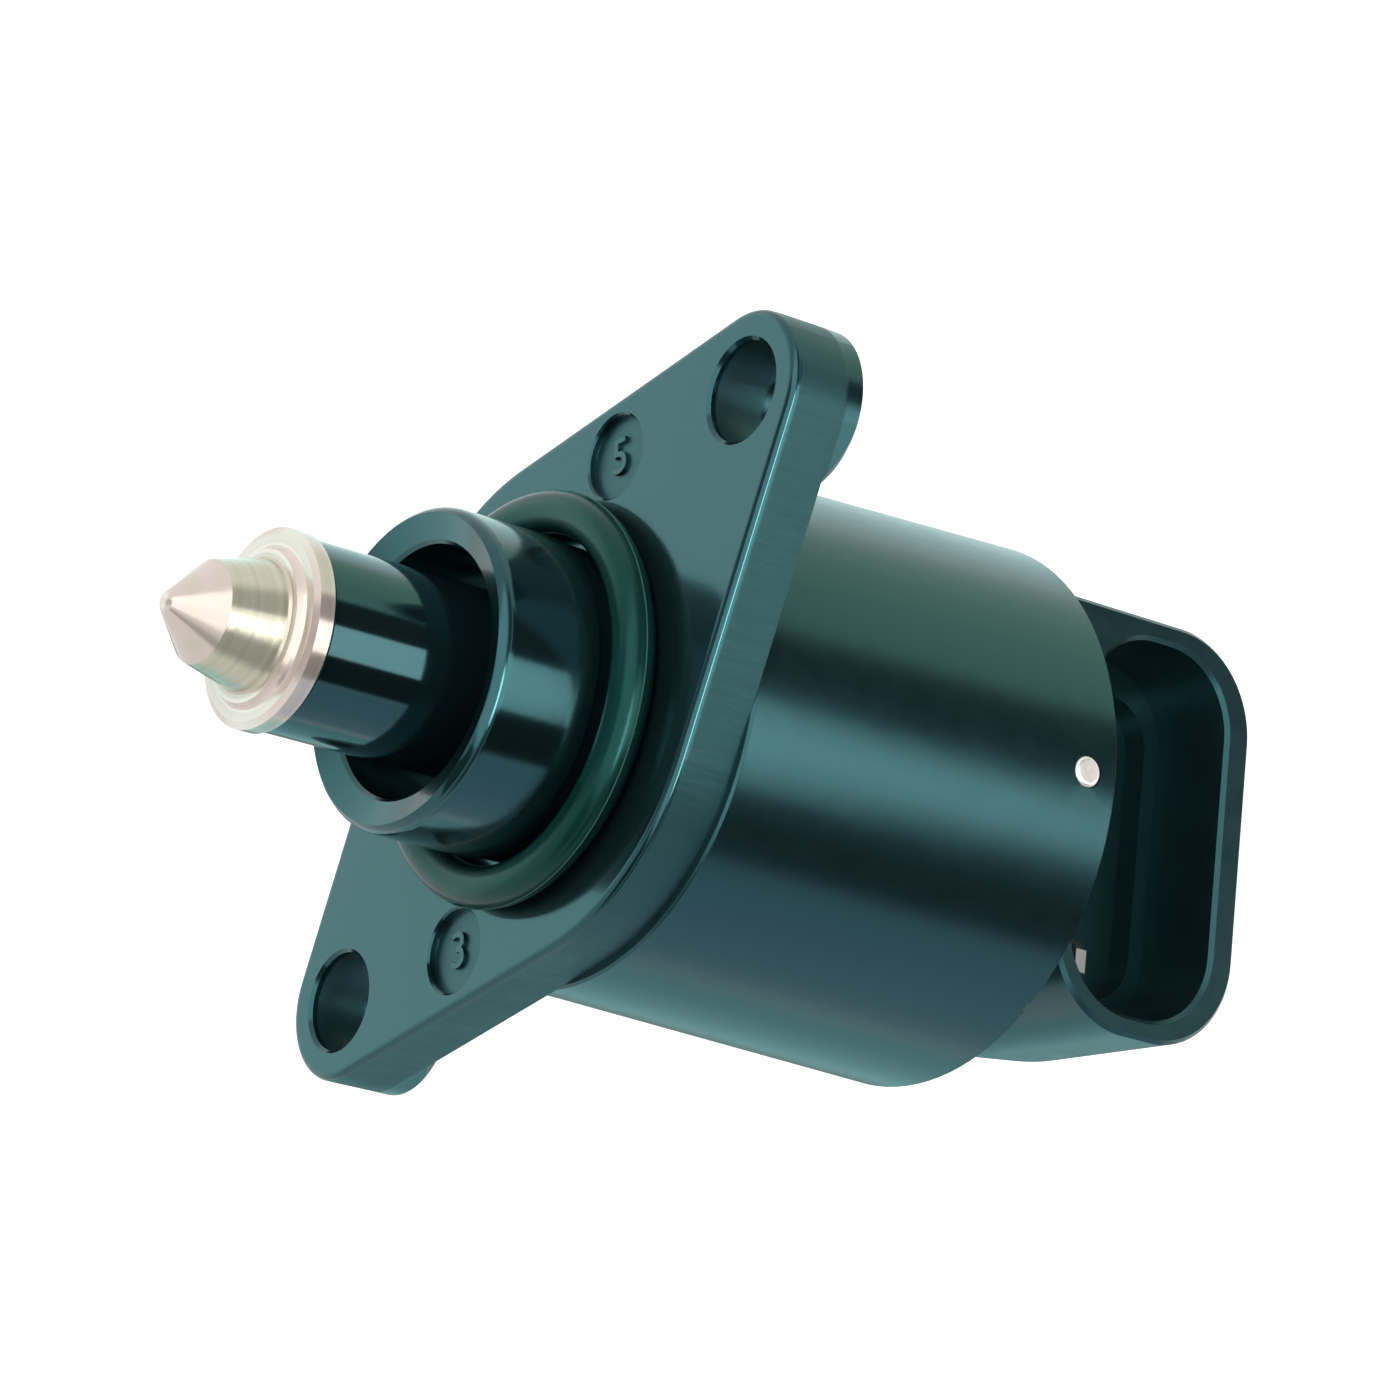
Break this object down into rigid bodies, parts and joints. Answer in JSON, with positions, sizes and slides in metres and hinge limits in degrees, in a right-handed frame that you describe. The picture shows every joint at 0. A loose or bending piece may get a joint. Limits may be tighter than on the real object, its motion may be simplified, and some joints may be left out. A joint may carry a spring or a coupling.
{
  "type": "idle air control valve",
  "caption": "Two-bolt stepper-motor idle air control valve: a screw-driven pintle in a collared flange, a can for the motor and a side-facing connector behind.",
  "frame": {"origin": "centre of the flange's front face, on the valve's axis and midway between the two bolt holes", "axes": "+Z along the valve's axis towards the pintle's tip; -Y the way the connector opens; +X to the connector's right as seen from its mouth with the tip up"},
  "size_m": [0.0408, 0.0432, 0.073],
  "materials": {
    "moulded_housing": "satin black moulding with a cool cast",
    "moulded_cap": "satin black moulding with a cool cast",
    "sleeve_plastic": "glossy black",
    "green_rubber": "dark green, slightly oily",
    "black_rubber": "matt",
    "bright_steel": "bright turned",
    "bearing_steel": "ground and polished",
    "cage_brass": "pressed",
    "pole_steel": "pressed and plated",
    "bobbin_plastic": "natural moulding",
    "enamelled_wire": "enamelled copper wire",
    "bush_bronze": "sintered",
    "tinned_brass": "tinned",
    "ferrite": "ground",
    "hub_plastic": "natural moulding",
    "turned_metal": "turned, with a faint warm plating"
  },
  "bodies": {
    "valve_body": {"housing": "moulded_housing", "o_ring": "green_rubber", "rear_cap": "moulded_cap", "cap_seal": "black_rubber", "retaining_pins": "bright_steel", "race_spring": "bright_steel", "bearing_outer_race": "bearing_steel", "front_pole_cup": "pole_steel", "front_pole_plate": "pole_steel", "rear_pole_plate": "pole_steel", "rear_pole_cup": "pole_steel", "front_bobbin": "bobbin_plastic", "rear_bobbin": "bobbin_plastic", "front_winding": "enamelled_wire", "rear_winding": "enamelled_wire", "rear_bush": "bush_bronze", "terminal_1": "tinned_brass", "terminal_2": "tinned_brass", "terminal_3": "tinned_brass", "terminal_4": "tinned_brass"},
    "rotor": {"rotor_magnet": "ferrite", "rotor_hub": "hub_plastic", "bearing_inner_race": "bearing_steel"},
    "ball_set": {"bearing_balls": "bearing_steel", "bearing_cage": "cage_brass"},
    "pintle": {"lead_screw": "bright_steel", "pintle_sleeve": "sleeve_plastic", "pintle_tip": "turned_metal"}
  },
  "joints": [
    {"name": "rotor_spin", "type": "hinge", "parent": "valve_body", "child": "rotor", "pos_m": [0, 0, -0.018], "axis": [0, 0, 1], "range_deg": [-540, 2340]},
    {"name": "pintle_slide", "type": "slide", "parent": "valve_body", "child": "pintle", "axis": [0, 0, 1], "range_m": [-0.0065, 0.0015]},
    {"name": "ball_set_spin", "type": "hinge", "parent": "valve_body", "child": "ball_set", "pos_m": [0, 0, -0.0107], "axis": [0, 0, 1], "range_deg": [-216, 936]}
  ],
  "couplings": [
    {"joint": "rotor_spin", "follows": "pintle_slide", "rad_per_m": -6283.1},
    {"joint": "ball_set_spin", "follows": "pintle_slide", "rad_per_m": -2513.2}
  ]
}
